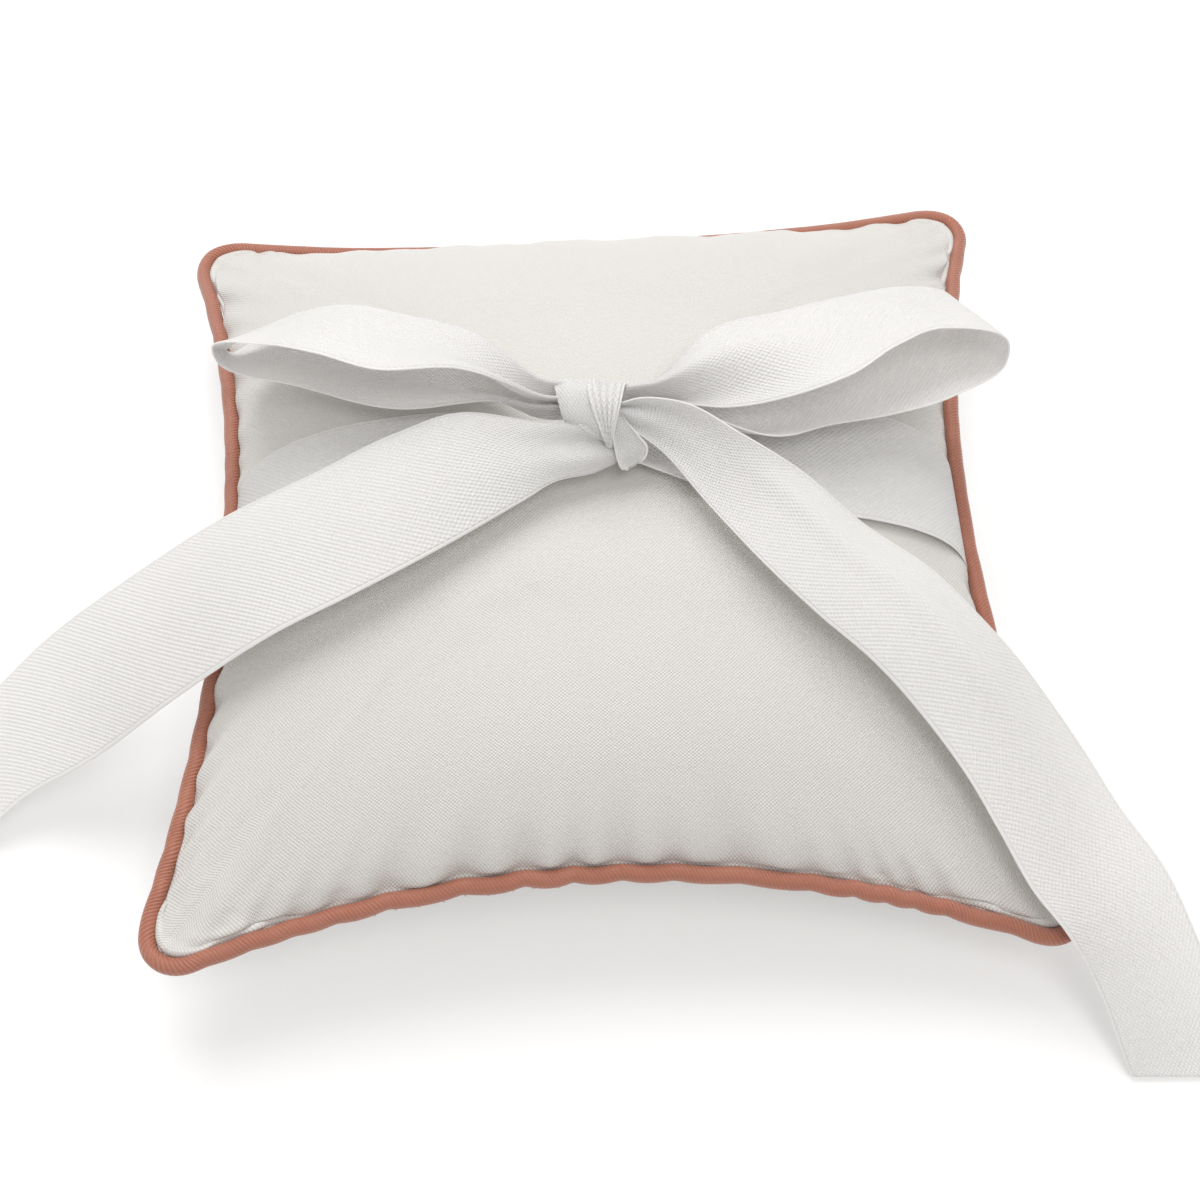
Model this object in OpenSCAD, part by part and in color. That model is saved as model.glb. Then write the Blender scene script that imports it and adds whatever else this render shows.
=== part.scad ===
// Ring bearer pillow: a small stuffed satin pillow with piped edges.
// Two satin ribbons are sewn into its side seams and tied in a bow on the crown.
// The origin is the centre of the resting face, +Z is up and the bow's tails fall
// over the left side (-X) and over the near right corner (+X, -Y).

/* [Pillow] */
// Width across the corners, seam to seam
pillow_w = 150; // [120:5:200]
// How far the middle of each side pulls in from the line between its corners
side_pull = 12; // [4:1:14]
// Radius of the corners seen from above
corner_r = 9; // [8:1:12]
// Height of the filling above the seam, at the crown
top_loft = 23.4; // [22:0.2:24.4]
// Depth of the filling below the seam, before the table flattens it
under_loft = 30; // [27:1:34]
// How much higher the seam stands at mid-side than at the corners
edge_rise = 8.5; // [7:0.5:10]
// Steepness of the filling at the seam, lower is fuller
fullness = 0.6; // [0.5:0.05:0.7]

/* [Satin] */
// Thickness of the satin panels
satin_t = 0.5; // [0.3:0.1:0.6]
// Width of the seam allowance turned in behind the seam
allowance = 5.5; // [4:0.5:6]

/* [Piping] */
// Outside diameter of the piping
piping_d = 2.8; // [2.4:0.1:3.2]
// Diameter of the cotton cord inside the piping
cord_d = 1.8; // [1.4:0.1:1.9]

/* [Stitching] */
// Diameter of the sewing thread
thread_d = 0.4; // [0.3:0.1:0.5]
// Distance from the seam line to the row of stitches
stitch_in = 2.5; // [2:0.5:4]
// Number of hand stitches that close the filling gap
closing_count = 14; // [8:1:18]

/* [Ribbon] */
// Thickness of the satin ribbon
ribbon_t = 0.5; // [0.3:0.1:0.6]
// Distance the bands lie above the satin
band_lift = 0.3; // [0.2:0.1:0.5]

/* [Hidden] */

SATIN = [0.93, 0.92, 0.90];
RIBBON = [0.96, 0.96, 0.95];
ROSE = [0.80, 0.57, 0.49];
COTTON = [0.90, 0.87, 0.80];
THREAD = [0.85, 0.84, 0.82];

k = pillow_w / 150;              // scale of everything laid out for a 150 mm pillow
half = pillow_w / 2;
pull = side_pull / 75;
rnd = corner_r / 75;
corner_z = [18, 14, 19, 16] * k; // seam height at near left, near right, far right, far left
leg_t = 0.45;                    // one thickness of piping fabric
slit = 0.05;                     // half the gap between the two legs of the piping
seam_gap = slit + leg_t + 0.1;   // seam plane to the panels' allowance
side_n = 16;                     // points along one side of the pillow
ring_n = 4 * side_n;
rings = [0.2, 0.4, 0.58, 0.73, 0.85, 0.93, 0.97, 0.99, 1];
seam_step = 2 * satin_t + 0.6;   // rise of the panel over its own turned-in allowance
knot_c = [0, -0.5, 55.8] * k;
knot_r = [6.8, 5.4, 3.7] * k;

function mix(a, b, t) = a + (b - a) * t;
function unitv(v) = v / max(norm(v), 1e-9);
function back(v) = [for (i = [len(v) - 1 : -1 : 0]) v[i]];

// ---- pillow surface, from (u, v) in the square -1..1 ----

// Point on the right side of a unit square whose corners are rounded by r
function side_pt(t, r) =
    let (l = t * (1 - r + r * PI / 4), a = abs(l) - (1 - r))
    a <= 0 ? [1, l]
    : let (ph = min(a / r, PI / 4) * 180 / PI) [1 - r + r * cos(ph), sign(l) * (1 - r + r * sin(ph))];

function unit_pt(u, v) =
    let (s = max(abs(u), abs(v)), wide = abs(u) >= abs(v),
         c = s == 0 ? [0, 0] : side_pt((wide ? v : u) / s, max(rnd * pow(s, 4), 1e-6)) * s)
    wide ? [sign(u) * c[0], c[1]] : [c[1], sign(v) * c[0]];

// Plan position, with the sides pulled in and the whole surface moved in by e
function plan(p, q, e) = (half - e) * [p * (1 - pull * (1 - q * q) * p * p),
                                       q * (1 - pull * (1 - p * p) * q * q)];

// Height of the seam plane, drooping towards the corners
function seam_z(p, q) =
    (corner_z[0] * (1 - p) * (1 - q) + corner_z[1] * (1 + p) * (1 - q)
     + corner_z[2] * (1 + p) * (1 + q) + corner_z[3] * (1 - p) * (1 + q)) / 4
    + edge_rise * k * (1 - p * p * q * q);

function dome(p, q, s) = pow(max(0, (1 - p * p) * (1 - q * q)), fullness) * pow(max(0, 1 - pow(s, 24)), 0.2);

// Rise from the seam plane to a panel surface moved inward by e
function rise(loft, f, s, e) = seam_gap + e + (seam_step - 2 * e) * sqrt(max(0, 1 - pow(s, 40))) + loft * k * f;

// Panel surface on the upper (sg = 1) or lower side, moved inward by e
function pillow_pt(u, v, sg, e) =
    let (s = max(abs(u), abs(v)), c = unit_pt(u, v), f = dome(c[0], c[1], s), m = seam_z(c[0], c[1]),
         xy = plan(c[0], c[1], e),
         z = sg > 0 ? m + rise(top_loft, f, s, e) : max(e, m - rise(under_loft, f, s, e)))
    [xy[0], xy[1], z];

// Point at height dz from the seam plane
function seam_pt(u, v, dz) =
    let (c = unit_pt(u, v), xy = plan(c[0], c[1], 0)) [xy[0], xy[1], seam_z(c[0], c[1]) + dz];

// Position i around the unit square, closer together near the corners
function edge_uv(i) =
    let (j = floor(i / side_n), h = 2 * (i / side_n - j) - 1, t = h * (1.35 - 0.35 * h * h))
    [[1, t], [-t, 1], [-1, -t], [t, -1]][j % 4];

function ring(s, sg, e) = [for (i = [0 : ring_n - 1]) let (w = edge_uv(i) * s) pillow_pt(w[0], w[1], sg, e)];

// ---- seam line, with the direction that points out of the pillow ----

function seam_line(i) = let (w = edge_uv(i)) seam_pt(w[0], w[1], 0);
function seam_out(i) =
    let (a = seam_line((i + ring_n - 1) % ring_n), b = seam_line((i + 1) % ring_n),
         t = unitv([b[0] - a[0], b[1] - a[1]]))
    [t[1], -t[0], 0];

// Ring at distance d inside the seam, at height dz from it
function inset_ring(d, dz) = [for (i = [0 : ring_n - 1]) seam_line(i) - seam_out(i) * d + [0, 0, dz]];

// Closed solid from rings of points, listed from its top point to its bottom point
module ringed(top, rings, bottom) {
    n = len(rings[0]);
    r = len(rings);
    last = n * r + 1;
    at = function (a, i) 1 + a * n + i % n;
    polyhedron(
        points = concat([top], [for (a = rings) each a], [bottom]),
        faces = concat(
            [for (i = [0 : n - 1]) [0, at(0, i + 1), at(0, i)]],
            [for (a = [0 : r - 2], i = [0 : n - 1]) each
                [[at(a, i), at(a, i + 1), at(a + 1, i + 1)], [at(a, i), at(a + 1, i + 1), at(a + 1, i)]]],
            [for (i = [0 : n - 1]) [last, at(r - 1, i), at(r - 1, i + 1)]]),
        convexity = 6);
}

// Ring of section points (n outward, z up) carried along the seam
module along_seam(section) {
    n = len(section);
    at = function (i, j) (i % ring_n) * n + j % n;
    polyhedron(
        points = [for (i = [0 : ring_n - 1]) let (o = seam_line(i), d = seam_out(i)) each
            [for (s = section) o + d * (s[0] + piping_d / 2) + [0, 0, s[1]]]],
        faces = [for (i = [0 : ring_n - 1], j = [0 : n - 1]) each
            [[at(i, j), at(i + 1, j + 1), at(i, j + 1)], [at(i, j), at(i + 1, j), at(i + 1, j + 1)]]],
        convexity = 6);
}

function arc(r, a0, a1, n) = [for (i = [0 : n]) let (a = mix(a0, a1, i / n)) r * [cos(a), sin(a)]];

// ---- ribbons ----

// Smooth curve through the stations p, at station i plus t
function curve(p, i, t) =
    let (n = len(p) - 1, a = p[max(i - 1, 0)], b = p[i], c = p[min(i + 1, n)], d = p[min(i + 2, n)])
    0.5 * (2 * b + (c - a) * t + (2 * a - 5 * b + 4 * c - d) * t * t + (3 * b - a - 3 * c + d) * t * t * t);

function curve_pts(p, m) = [for (i = [0 : len(p) - 2], s = [0 : m - 1]) curve(p, i, s / m), p[len(p) - 1]];

// Grid of points across a ribbon from its two edges, crowned by the third number of each station
function ribbon_grid(st, m, wn) =
    let (a = curve_pts([for (s = st) s[0] * k], m), b = curve_pts([for (s = st) s[1] * k], m),
         c = curve_pts([for (s = st) [s[2] * k]], m), n = len(a) - 1)
    [for (i = [0 : n])
        let (along = a[min(i + 1, n)] + b[min(i + 1, n)] - a[max(i - 1, 0)] - b[max(i - 1, 0)],
             up = unitv(cross(along, b[i] - a[i])))
        [for (j = [0 : wn]) let (w = j / wn) mix(a[i], b[i], w) + up * c[i][0] * 4 * w * (1 - w)]];

function grid_normal(g, i, j) =
    let (n = len(g) - 1, m = len(g[0]) - 1)
    unitv(cross(g[min(i + 1, n)][j] - g[max(i - 1, 0)][j], g[i][min(j + 1, m)] - g[i][max(j - 1, 0)]));

function offset_grid(g, d) =
    [for (i = [0 : len(g) - 1]) [for (j = [0 : len(g[0]) - 1]) g[i][j] + grid_normal(g, i, j) * d]];

// Closed solid between an upper and a lower grid of points
module sheet(up, lo) {
    n = len(up);
    m = len(up[0]);
    u = function (i, j) i * m + j;
    l = function (i, j) n * m + i * m + j;
    polyhedron(
        points = concat([for (r = up) each r], [for (r = lo) each r]),
        faces = concat(
            [for (i = [0 : n - 2], j = [0 : m - 2]) each
                [[u(i, j), u(i, j + 1), u(i + 1, j + 1)], [u(i, j), u(i + 1, j + 1), u(i + 1, j)],
                 [l(i, j), l(i + 1, j + 1), l(i, j + 1)], [l(i, j), l(i + 1, j), l(i + 1, j + 1)]]],
            [for (i = [0 : n - 2]) each
                [[u(i, 0), u(i + 1, 0), l(i + 1, 0)], [u(i, 0), l(i + 1, 0), l(i, 0)],
                 [u(i, m - 1), l(i + 1, m - 1), u(i + 1, m - 1)], [u(i, m - 1), l(i, m - 1), l(i + 1, m - 1)]]],
            [for (j = [0 : m - 2]) each
                [[u(0, j), l(0, j + 1), u(0, j + 1)], [u(0, j), l(0, j), l(0, j + 1)],
                 [u(n - 1, j), u(n - 1, j + 1), l(n - 1, j + 1)], [u(n - 1, j), l(n - 1, j + 1), l(n - 1, j)]]]),
        convexity = 6);
}

module ribbon(st, m = 2, wn = 4) {
    g = ribbon_grid(st, m, wn);
    color(RIBBON) sheet(offset_grid(g, ribbon_t / 2), offset_grid(g, -ribbon_t / 2));
}

// Band stations: distance from the knot to the side seam, then the near and far edge, all in -1..1
BAND = [[0.05, -0.06, 0.05], [0.18, -0.1, 0.09], [0.33, -0.14, 0.125], [0.48, -0.155, 0.135],
        [0.62, -0.155, 0.14], [0.75, -0.155, 0.138], [0.85, -0.155, 0.132], [0.93, -0.154, 0.126],
        [0.97, -0.153, 0.122], [0.99, -0.153, 0.12]];

// Band lying on the front panel, with a tab sewn in between the panel and the piping.
// A tab row is its distance out from the seam and its height from the panel's allowance.
module band(side) {
    wn = 4;
    rows = function (e, tab) concat(
        [for (s = BAND) [for (j = [0 : wn]) pillow_pt(side * s[0], mix(s[1], s[2], j / wn), 1, -e)]],
        [for (r = tab) [for (j = [0 : wn])
            seam_pt(side, mix(-0.153, 0.12, j / wn), seam_gap + r[1]) + [side * r[0], 0, 0]]]);
    inner = rows(band_lift, [[0.03, 0.12], [-0.5, -0.02], [-4, -0.02]]);
    outer = rows(band_lift + ribbon_t, [[0.5, 0], [-0.1, -0.02 - ribbon_t], [-4, -0.02 - ribbon_t]]);
    color(RIBBON) if (side > 0) sheet(outer, inner);
    else sheet([for (r = outer) back(r)], [for (r = inner) back(r)]);
}

// Ribbon stations in mm on a 150 mm pillow: right edge, left edge (looking along it), crown
TAIL_LEFT = [
    [[-10, -0.3, 56.5], [-6.5, -8.7, 52.6], 0.5],
    [[-20, 1.5, 57], [-12, -11.7, 51.9], 1],
    [[-31, 0.3, 54.3], [-23, -18, 50.8], 1.5],
    [[-45.5, -3, 48], [-37, -24.5, 48], 1.5],
    [[-61, -5, 39.5], [-50, -28.6, 43.4], 1.5],
    [[-78, -9, 28.5], [-68.9, -32.8, 30], 1],
    [[-95, -13, 15.5], [-85, -35.5, 15.5], 1],
    [[-104, -17.5, 8.5], [-96.3, -37.6, 8], 0.5],
    [[-113, -22, 3.5], [-105, -43, 3.5], 0],
    [[-122, -26, 1.5], [-114, -48, 1.5], 0]];

TAIL_RIGHT = [
    [[8.7, -4.5, 54.3], [9.2, 0.8, 58.8], 0.3],
    [[15.6, -13.7, 52.4], [21.1, -5, 58.3], 0.5],
    [[22.7, -22.9, 50.9], [30.2, -9.3, 54], 1],
    [[30.8, -31, 48], [39.5, -16.2, 49.2], 1.5],
    [[39.1, -37.9, 44.4], [50, -22.2, 44.5], 1.5],
    [[46.3, -45.2, 39.8], [58.6, -29.4, 39], 1.5],
    [[51.9, -52, 35.5], [64.9, -34.8, 34], 1],
    [[57.2, -60.2, 30.3], [73.3, -44.4, 26.5], 1],
    [[62.1, -67.8, 25.2], [79.6, -53.6, 21], 0.5],
    [[67, -72.8, 21], [85.8, -61, 16.4], 0.5],
    [[72.5, -78.5, 12.8], [91.5, -73, 9.4], 0.3],
    [[78.8, -89.6, 1.5], [96.5, -90.5, 1.5], 0]];

LOOP_LEFT = [
    [[-8.5, 5.5, 58.2], [-8.5, 2.2, 57.6], 0],
    [[-20, 16, 57.6], [-22, 4.5, 62.5], 0],
    [[-30, 22.5, 55], [-34, 5.5, 62.5], 0],
    [[-39, 27, 52.8], [-43, 9.5, 62.3], 0],
    [[-49.3, 29.7, 47.6], [-52, 14.5, 59], 0],
    [[-61, 27, 42.6], [-60, 18.5, 54.8], 0],
    [[-60.3, 29, 39.4], [-59, 20, 50.2], 0],
    [[-50.5, 33.5, 43.2], [-48, 14.8, 47.6], 0],
    [[-33, 26.5, 49.4], [-31.5, 7, 50.5], 0],
    [[-18, 15, 52], [-16, 5.5, 53], 0],
    [[-8.5, 5.5, 54.4], [-8.5, 2.2, 54.6], 0]];

LOOP_RIGHT = [
    [[9.2, 2.6, 57], [8.8, 6, 58.2], 0],
    [[20, 1, 56.8], [16.8, 13.8, 59.6], 0],
    [[38, 2.4, 61.5], [30.9, 20.2, 56.8], 0],
    [[47, 9, 60.5], [42.3, 26, 52.6], 0],
    [[55, 13.5, 58.5], [51.5, 29, 50.5], 0],
    [[66, 13.5, 54.5], [59, 28.5, 48.8], 0],
    [[66, 12, 50], [59.5, 29.4, 44.2], 0],
    [[58, 7.5, 49], [53, 28, 44.6], 0],
    [[48, 4, 49], [41.5, 24, 47.2], 0],
    [[36.5, 0.8, 50.5], [31.5, 19, 50.2], 0],
    [[26.5, -2.4, 52], [20, 12.5, 52], 0],
    [[9.2, 2.6, 54.4], [8.8, 6, 54.6], 0]];

// Point on the knot: x across it, an angle around it from the crown towards the front, and e outward
function knot_pt(x, a, e) =
    let (w = sqrt(max(0, 1 - pow(x / (knot_r[0] + e), 2) * 0.8)))
    knot_c + [x, -(knot_r[1] + e) * w * sin(a), (knot_r[2] + e) * w * cos(a)];

// ---- sub-parts ----

module front_panel()
    color(SATIN) ringed(
        pillow_pt(0, 0, 1, 0),
        concat([for (s = rings) ring(s, 1, 0)],
               [inset_ring(allowance, seam_gap), inset_ring(allowance, seam_gap + satin_t)],
               [for (s = back(rings)) ring(s, 1, satin_t)]),
        pillow_pt(0, 0, 1, satin_t));

module back_panel()
    color(SATIN) ringed(
        pillow_pt(0, 0, -1, satin_t),
        concat([for (s = rings) ring(s, -1, satin_t)],
               [inset_ring(allowance, -seam_gap - satin_t), inset_ring(allowance, -seam_gap)],
               [for (s = back(rings)) ring(s, -1, 0)]),
        pillow_pt(0, 0, -1, 0));

// Polyester fibre, grooved around the seam allowances
module filling() {
    e = satin_t + 0.3;
    h = seam_gap + satin_t + 0.1;
    groove = allowance + 0.6;
    color(COTTON) ringed(
        pillow_pt(0, 0, 1, e),
        concat([for (s = rings) ring(s, 1, e)],
               [inset_ring(groove, h), inset_ring(groove, -h)],
               [for (s = back(rings)) ring(s, -1, e)]),
        pillow_pt(0, 0, -1, e));
}

// Satin strip wrapped around the cord, its two legs sewn between the panels
module piping_cover() {
    ro = piping_d / 2;
    ri = cord_d / 2 + 0.04;
    ho = slit + leg_t;
    ao = asin(ho / ro);
    ai = asin(slit / ri);
    leg = allowance + ro - 0.5;
    color(ROSE) along_seam(concat(
        [[-leg, ho]], back(arc(ro, -180 + ao, 180 - ao, 12)), [[-leg, -ho]],
        [[-leg, -slit]], arc(ri, -180 + ai, 180 - ai, 8), [[-leg, slit]]));
}

module piping_cord()
    color(COTTON) along_seam(back([for (j = [0 : 7]) cord_d / 2 * [cos(45 * j), sin(45 * j)]]));

// Lockstitches through both allowances and the piping's legs
module seam_stitching() {
    h = seam_gap + satin_t + 0.05;
    color(THREAD) for (i = [0 : 0.5 : ring_n - 0.5])
        translate(seam_line(i) - seam_out(i) * stitch_in - [0, 0, h])
            cylinder(d = thread_d, h = 2 * h, $fn = 16);
}

// Hand stitches drawing the back panel to the piping along the near edge
module closing_stitches()
    color(THREAD) for (i = [0 : closing_count - 1])
        translate(seam_pt(-0.62 + 0.042 * i, -1, -piping_d / 2 + 0.15) + [0, 0.7, 0]) rotate([90, 0, 0])
            cylinder(d = thread_d, h = 2.3, $fn = 16);

module band_left() band(-1);
module band_right() band(1);

// Crossed ribbons drawn tight inside the knot
module knot_core()
    color(RIBBON) ringed(
        knot_c + [0, 0, knot_r[2]],
        [for (a = [25 : 26 : 155]) [for (i = [0 : 23])
            knot_c + [knot_r[0] * sin(a) * cos(15 * i), knot_r[1] * sin(a) * sin(15 * i), knot_r[2] * cos(a)]]],
        knot_c - [0, 0, knot_r[2]]);

// Ribbon passing over the knot from back to front
module knot_wrap() {
    g = function (e) [for (a = [-92 : 16 : 100]) [for (j = [0 : 4])
        knot_pt(mix(-2.6, mix(4.8, 3.2, (a + 92) / 192), j / 4) * k, a, e)]];
    color(RIBBON) sheet(g(0.15 + ribbon_t), g(0.15));
}

module loop_left() ribbon(LOOP_LEFT);
module loop_right() ribbon(LOOP_RIGHT);
module tail_left() ribbon(TAIL_LEFT);
module tail_right() ribbon(TAIL_RIGHT);

front_panel();
back_panel();
filling();
piping_cover();
piping_cord();
seam_stitching();
closing_stitches();
band_left();
band_right();
knot_core();
knot_wrap();
loop_left();
loop_right();
tail_left();
tail_right();
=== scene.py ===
import math

import bmesh
import bpy
from bpy.props import FloatProperty, FloatVectorProperty, PointerProperty
from mathutils import Matrix, Vector, noise
from mathutils.bvhtree import BVHTree
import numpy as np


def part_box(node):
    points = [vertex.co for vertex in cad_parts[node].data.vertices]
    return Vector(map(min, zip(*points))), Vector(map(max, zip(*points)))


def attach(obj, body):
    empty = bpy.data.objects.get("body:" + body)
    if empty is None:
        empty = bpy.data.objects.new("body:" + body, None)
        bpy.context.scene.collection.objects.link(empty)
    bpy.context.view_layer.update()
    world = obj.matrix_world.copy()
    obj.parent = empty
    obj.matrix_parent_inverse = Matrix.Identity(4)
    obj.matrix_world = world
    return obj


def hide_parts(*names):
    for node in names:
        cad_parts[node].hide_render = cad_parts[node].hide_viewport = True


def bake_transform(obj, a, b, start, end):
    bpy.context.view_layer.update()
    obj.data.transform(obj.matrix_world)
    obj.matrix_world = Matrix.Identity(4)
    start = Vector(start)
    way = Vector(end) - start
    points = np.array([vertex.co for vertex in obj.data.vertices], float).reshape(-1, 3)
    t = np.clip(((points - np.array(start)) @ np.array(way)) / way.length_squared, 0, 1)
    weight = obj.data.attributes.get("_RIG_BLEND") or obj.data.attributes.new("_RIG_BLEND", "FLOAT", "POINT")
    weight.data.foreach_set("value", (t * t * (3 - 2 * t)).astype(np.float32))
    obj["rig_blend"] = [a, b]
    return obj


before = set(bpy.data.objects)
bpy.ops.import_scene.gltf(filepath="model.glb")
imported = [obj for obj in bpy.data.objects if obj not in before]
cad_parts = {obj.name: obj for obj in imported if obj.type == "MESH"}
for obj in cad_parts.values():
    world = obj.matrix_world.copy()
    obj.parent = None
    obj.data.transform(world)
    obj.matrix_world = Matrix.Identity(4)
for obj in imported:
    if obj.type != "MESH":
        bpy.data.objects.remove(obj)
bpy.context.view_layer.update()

bl_info = {
    "name": "Ring Bearer Pillow",
    "version": (1, 0, 0),
    "blender": (4, 5, 0),
    "location": "View3D > Sidebar > Pillow",
    "description": "Satin ring pillow with rose piping and a ribbon bow",
    "category": "Add Mesh",
}

MM = 0.001
PANEL_LOW, PANEL_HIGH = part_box("front_panel")
KNOT_LOW, KNOT_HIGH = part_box("knot_core")

# Seam height above the table at the near left, near right, far right and far left corner
CORNER_HEIGHTS = (18 * MM, 14 * MM, 19 * MM, 16 * MM)
# How far the satin steps up out of the seam, on either side of it
SEAM_STEP = 0.9 * MM
# Strength of the satin's puckers, of the piping's waves that follow them, and of the bulge
# over the piping, on the near, right, far and left side
SATIN_PUCKERS = (1.3, 1.0, 0.6, 1.0)
PIPING_WAVES = (1.3, 0.7, 0.4, 0.7)
OVERHANGS = (0.45, 0.45, 1.0, 0.65)

# Distance between threads across and along each cloth, and between the piping's ribs
SATIN_WEAVE = (0.62 * MM, 0.6 * MM)
RIBBON_WEAVE = (0.85 * MM, 1.0 * MM)
PIPING_RIBS = 0.62 * MM
# How far the ribbon's woven line, a groove darkened with painted shade, stands in from its selvedge
SELVEDGE = 0.6 * MM
# A height above everything in the model, to look straight down from
WELL_ABOVE = 200 * MM
# How far the satin's puckers and its wide folds reach inward, and how far its bulge does
PUCKER_REACH, FOLD_REACH, BULGE_REACH = 6.5 * MM, 13 * MM, 15 * MM
# Pitch and height of the wide folds, as shares of those of the puckers
FOLD_PITCH, FOLD_HEIGHT = 2.7, 0.8
# How far the satin may bulge over the piping
BULGE = 1.3 * MM
# How deep the bands' stations lie in the satin, in millimetres as they are
BAND_SINK = Vector((0, 0, 0.8))
# Where the tails and the loops begin and stop bending, measured from the knot's middle
TAIL_BEND = (9 * MM, 24 * MM)
LOOP_BEND = (4 * MM, 16 * MM)
# Height at which the loops swing
LOOP_HINGE = 57 * MM
# Width of cloth that shows on the pieces of the knot
KNOT_CLOTH = 9 * MM

# Camera: degrees above the table, to the right of straight in front and of roll
CAMERA_ELEVATION, CAMERA_AZIMUTH, CAMERA_ROLL = 59.0, -3.1, 0.46
CAMERA_TARGET = Vector((-0.3, -10.8, 20.0)) * MM
CAMERA_DISTANCE = 310.2 * MM
CAMERA_LENS = 55.548

# Ribbon stations in millimetres: right-hand edge, left-hand edge looking along the ribbon,
# and how far the middle stands above the straight line between them
LEFT_TAIL = (
    ((0.4, -1.9, 57.0), (2.6, -6.0, 52.9), 0.3),
    ((-4.5, -1.2, 57.0), (-1.2, -7.6, 52.5), 0.5),
    ((-10, -0.3, 56.5), (-6.5, -8.7, 52.6), 0.8),
    ((-20, 1.5, 57), (-12, -11.7, 51.9), 1.2),
    ((-31, 0.3, 54.3), (-23, -18, 50.8), 1.5),
    ((-45.5, -3, 48), (-37, -24.5, 48), 1.5),
    ((-61, -5, 39.5), (-50, -28.6, 43.4), 1.5),
    ((-78, -9, 28.5), (-68.9, -32.8, 30), 1),
    ((-95, -13, 15.5), (-85, -35.5, 15.5), 1),
    ((-104, -17.5, 8.5), (-96.3, -37.6, 8), 0.5),
    ((-113, -22, 3.5), (-105, -43, 3.5), 0.2),
    ((-122, -26, 0.6), (-114, -48, 0.6), 0),
)
RIGHT_TAIL = (
    ((2.4, -1.6, 58.8), (2.8, 0.2, 59.6), 0),
    ((5.6, -3.4, 56.8), (6.4, 1.0, 59.9), -0.6),
    ((8.7, -5, 54.8), (11.4, 0.2, 60.1), -1.1),
    ((15.6, -13.7, 52.4), (21.1, -5, 58.3), -1.2),
    ((22.7, -22.9, 50.9), (30.2, -9.3, 54), -0.2),
    ((30.8, -31, 48), (39.5, -16.2, 49.2), 1.4),
    ((39.1, -37.9, 44.4), (50, -22.2, 44.5), 2.2),
    ((46.3, -45.2, 39.8), (58.6, -29.4, 39), 2),
    ((51.9, -52, 35.5), (64.9, -34.8, 34), 1.4),
    ((57.2, -60.2, 30.3), (73.3, -44.4, 26.5), 1),
    ((62.1, -67.8, 25.2), (79.6, -53.6, 21), 0.5),
    ((67, -72.8, 21), (85.8, -61, 16.4), 0.5),
    ((72.5, -78.5, 12.8), (91.5, -73, 9.4), 0.3),
    ((78.8, -89.6, 0.6), (96.5, -90.5, 0.6), 0),
)
LEFT_LOOP = (
    ((-2.5, 4.4, 58.2), (-2.5, 1.6, 57.8), 0.2),
    ((-8.5, 5.5, 58.2), (-8.5, 2.2, 57.6), 0.4),
    ((-20, 16, 57.6), (-22, 4.5, 62.5), 1),
    ((-30, 22.5, 55), (-34, 5.5, 62.5), 1),
    ((-39, 27, 52.8), (-43, 9.5, 62.3), 1),
    ((-49.3, 29.7, 47.6), (-52, 14.5, 59), 0.5),
    ((-61, 27, 42.6), (-60.6, 17.2, 55.2), 0),
    ((-60.3, 29, 39.4), (-60.2, 17.6, 50.4), 0),
    ((-50.5, 33.5, 43.2), (-48, 14.8, 47.6), 0.5),
    ((-33, 26.5, 49.4), (-31.5, 7, 50.5), 1),
    ((-18, 15, 52), (-16, 5.5, 53), 1),
    ((-8.5, 5.5, 54.4), (-8.5, 2.2, 54.6), 0.4),
    ((-2.5, 4.4, 55.2), (-2.5, 1.6, 55.2), 0.2),
)
RIGHT_LOOP = (
    ((3.6, 1.4, 58.4), (3.6, 3.8, 59.0), 0.2),
    ((9.2, 2.6, 57), (8.8, 6, 58.2), 0.4),
    ((20, 1, 56.8), (16.8, 13.8, 59.6), 1),
    ((38, 2.4, 61.5), (30.9, 20.2, 56.8), 1),
    ((47, 9, 60.5), (42.3, 26, 52.6), 1),
    ((55, 13.5, 58.5), (51.5, 29, 50.5), 0.5),
    ((66, 13.5, 54.5), (59, 28.5, 48.8), 0),
    ((66, 12, 50), (59.5, 29.4, 44.2), 0),
    ((58, 7.5, 49), (53, 28, 44.6), 0.3),
    ((48, 4, 49), (41.5, 24, 47.2), 0.5),
    ((36.5, 0.8, 50.5), (31.5, 19, 50.2), 0.5),
    ((26.5, -2.4, 52), (20, 12.5, 52), 0.5),
    ((9.2, 2.6, 54.4), (8.8, 6, 54.6), 0.3),
    ((3.6, 1.4, 55.4), (3.6, 3.8, 55.6), 0.2),
)
# Band stations: share of the way to the side seam, then the near and far edge, in -1..1
BAND = (
    (0.03, -0.045, 0.035),
    (0.10, -0.075, 0.06),
    (0.18, -0.10, 0.09),
    (0.33, -0.14, 0.125),
    (0.48, -0.155, 0.135),
    (0.62, -0.155, 0.14),
    (0.75, -0.155, 0.138),
    (0.85, -0.155, 0.132),
    (0.93, -0.154, 0.126),
    (0.97, -0.153, 0.122),
    (0.996, -0.153, 0.12),
)
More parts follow.
